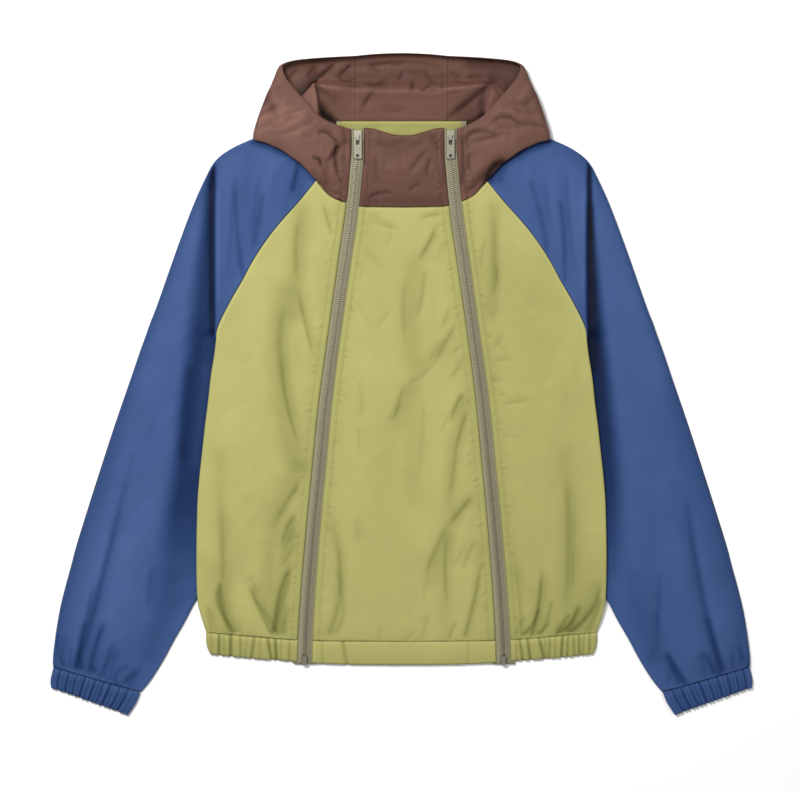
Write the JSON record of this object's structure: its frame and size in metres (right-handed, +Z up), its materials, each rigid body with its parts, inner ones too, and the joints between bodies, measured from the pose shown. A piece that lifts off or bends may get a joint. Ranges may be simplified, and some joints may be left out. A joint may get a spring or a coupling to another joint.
{
  "type": "hooded windbreaker jacket",
  "caption": "Hooded windbreaker jacket laid flat, with raglan sleeves, a stand collar, slanting front zips and elastic hem and cuffs.",
  "frame": {"origin": "centre of the bounding box, on the surface that the jacket lies on", "axes": "+Z up out of the jacket's front, +Y towards the hood, +X to the wearer's left"},
  "size_m": [0.9142, 0.8596, 0.0183],
  "materials": {
    "green": "light woven nylon, faint sheen",
    "blue": "light woven nylon, faint sheen",
    "brown": "light woven nylon, faint sheen",
    "tape": "woven polyester tape, matt",
    "teeth": "dull antique",
    "metal": "satin"
  },
  "bodies": {
    "jacket": {"back": "green", "front_centre": "green", "front_left": "green", "front_right": "green", "hem_back": "green", "hem_centre": "green", "hem_left": "green", "hem_right": "green", "storm_flap": "green", "sleeve_left": "blue", "sleeve_right": "blue", "cuff_left": "blue", "cuff_right": "blue", "collar_centre": "brown", "hood_centre": "brown", "hood_left": "brown", "hood_right": "brown", "zip_left_tape_in": "tape", "zip_left_tape_out": "tape", "zip_right_tape_in": "tape", "zip_right_tape_out": "tape", "zip_left_chain": "teeth", "zip_right_chain": "teeth", "zip_left_slider": "metal", "zip_right_slider": "metal", "zip_left_stop": "metal", "zip_right_stop": "metal"},
    "left_tab": {"zip_left_pull": "metal"},
    "right_tab": {"zip_right_pull": "metal"}
  },
  "joints": [
    {"name": "left_tab_turn", "type": "hinge", "parent": "jacket", "child": "left_tab", "pos_m": [0.0636, 0.32, 0.0131], "axis": [-1, 0, 0], "range_deg": [0, 170]},
    {"name": "right_tab_turn", "type": "hinge", "parent": "jacket", "child": "right_tab", "pos_m": [-0.0568, 0.32, 0.0131], "axis": [-1, 0, 0], "range_deg": [0, 170]}
  ]
}
